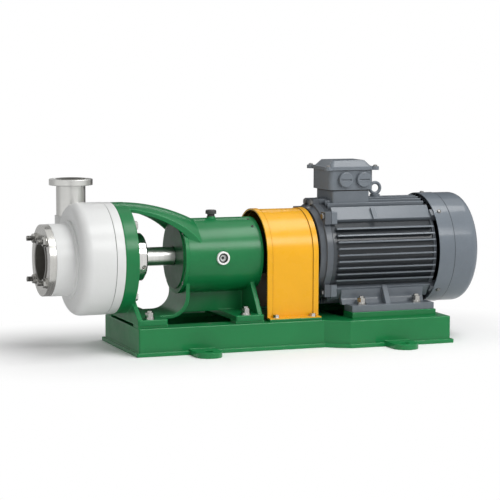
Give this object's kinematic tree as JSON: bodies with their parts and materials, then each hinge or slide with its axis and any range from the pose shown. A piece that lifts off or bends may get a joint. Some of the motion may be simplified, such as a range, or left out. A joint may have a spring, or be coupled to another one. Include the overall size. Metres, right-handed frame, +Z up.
{
  "type": "fluoroplastic pump",
  "caption": "Fluoroplastic-lined centrifugal pump with bearing frame, guarded coupling and electric motor on one base.",
  "frame": {"origin": "on the floor below the shaft, midway between the two rows of foundation holes", "axes": "+X along the shaft from the suction flange to the motor's fan, +Y to the discharge side, +Z up"},
  "size_m": [1.0505, 0.483, 0.421],
  "materials": {
    "green_enamel": "gloss green enamel",
    "white_enamel": "satin white enamel",
    "stainless": "turned",
    "fluoroplastic": "moulded",
    "guard_orange": "gloss orange-yellow enamel",
    "motor_grey": "satin grey enamel",
    "zinc": "zinc plated",
    "steel": "ground",
    "dark_iron": "machined",
    "black_plastic": "moulded",
    "rubber": "moulded",
    "gasket": "cut sheet",
    "elastomer": "moulded",
    "ceramic": "lapped",
    "carbon": "lapped",
    "glass": "clear",
    "laminations": "stacked sheet",
    "copper": "varnished wire"
  },
  "bodies": {
    "pump_set": {"base_frame": "green_enamel", "pump_pads": "green_enamel", "motor_pads": "green_enamel", "guard_rails": "green_enamel", "pump_casing": "white_enamel", "casing_lining": "fluoroplastic", "casing_gasket": "gasket", "casing_cover": "white_enamel", "cover_lining": "fluoroplastic", "suction_flange": "stainless", "suction_studs": "zinc", "suction_nuts": "zinc", "discharge_pipe": "stainless", "casing_bolts": "zinc", "seal_seat": "ceramic", "seal_gland": "stainless", "gland_bolts": "zinc", "bearing_frame": "green_enamel", "front_bearing_cover": "green_enamel", "rear_bearing_cover": "green_enamel", "lip_seals": "rubber", "bearing_outer_rings": "steel", "breather": "black_plastic", "oil_sight_ring": "zinc", "oil_sight_window": "glass", "foot_bolts": "zinc", "coupling_guard": "guard_orange", "guard_bolts": "zinc", "motor_frame": "motor_grey", "drive_shield": "motor_grey", "rear_shield": "motor_grey", "shield_bolts": "zinc", "stator_core": "laminations", "stator_windings": "copper", "fan_cover": "motor_grey", "terminal_box": "motor_grey", "terminal_gaskets": "gasket", "terminal_box_lid": "motor_grey", "terminal_board": "black_plastic", "cable_entry_plugs": "motor_grey", "eye_bolt": "motor_grey"},
    "pump_rotor": {"impeller": "fluoroplastic", "impeller_nut": "fluoroplastic", "pump_shaft": "steel", "pump_shaft_keys": "steel", "shaft_sleeve": "stainless", "seal_ring": "carbon", "seal_bellows": "fluoroplastic", "seal_collar": "stainless", "pump_bearing_inner_rings": "steel", "pump_coupling_hub": "dark_iron"},
    "motor_rotor": {"motor_shaft": "steel", "motor_shaft_key": "steel", "rotor_core": "laminations", "cooling_fan": "black_plastic", "motor_bearing_inner_rings": "steel", "motor_coupling_hub": "dark_iron", "coupling_spider": "elastomer"},
    "pump_ball_sets": {"pump_bearing_balls": "steel"},
    "motor_ball_sets": {"motor_bearing_balls": "steel"}
  },
  "joints": [
    {"name": "motor_rotor_spin", "type": "hinge", "parent": "pump_set", "child": "motor_rotor", "pos_m": [0, 0, 0.208], "axis": [1, 0, 0], "continuous": true},
    {"name": "pump_rotor_spin", "type": "hinge", "parent": "pump_set", "child": "pump_rotor", "pos_m": [0, 0, 0.208], "axis": [1, 0, 0], "continuous": true},
    {"name": "pump_balls_spin", "type": "hinge", "parent": "pump_set", "child": "pump_ball_sets", "pos_m": [0, 0, 0.208], "axis": [1, 0, 0], "continuous": true},
    {"name": "motor_balls_spin", "type": "hinge", "parent": "pump_set", "child": "motor_ball_sets", "pos_m": [0, 0, 0.208], "axis": [1, 0, 0], "continuous": true}
  ],
  "couplings": [
    {"joint": "pump_rotor_spin", "follows": "motor_rotor_spin", "ratio": 1},
    {"joint": "pump_balls_spin", "follows": "motor_rotor_spin", "ratio": 0.3846},
    {"joint": "motor_balls_spin", "follows": "motor_rotor_spin", "ratio": 0.4}
  ]
}
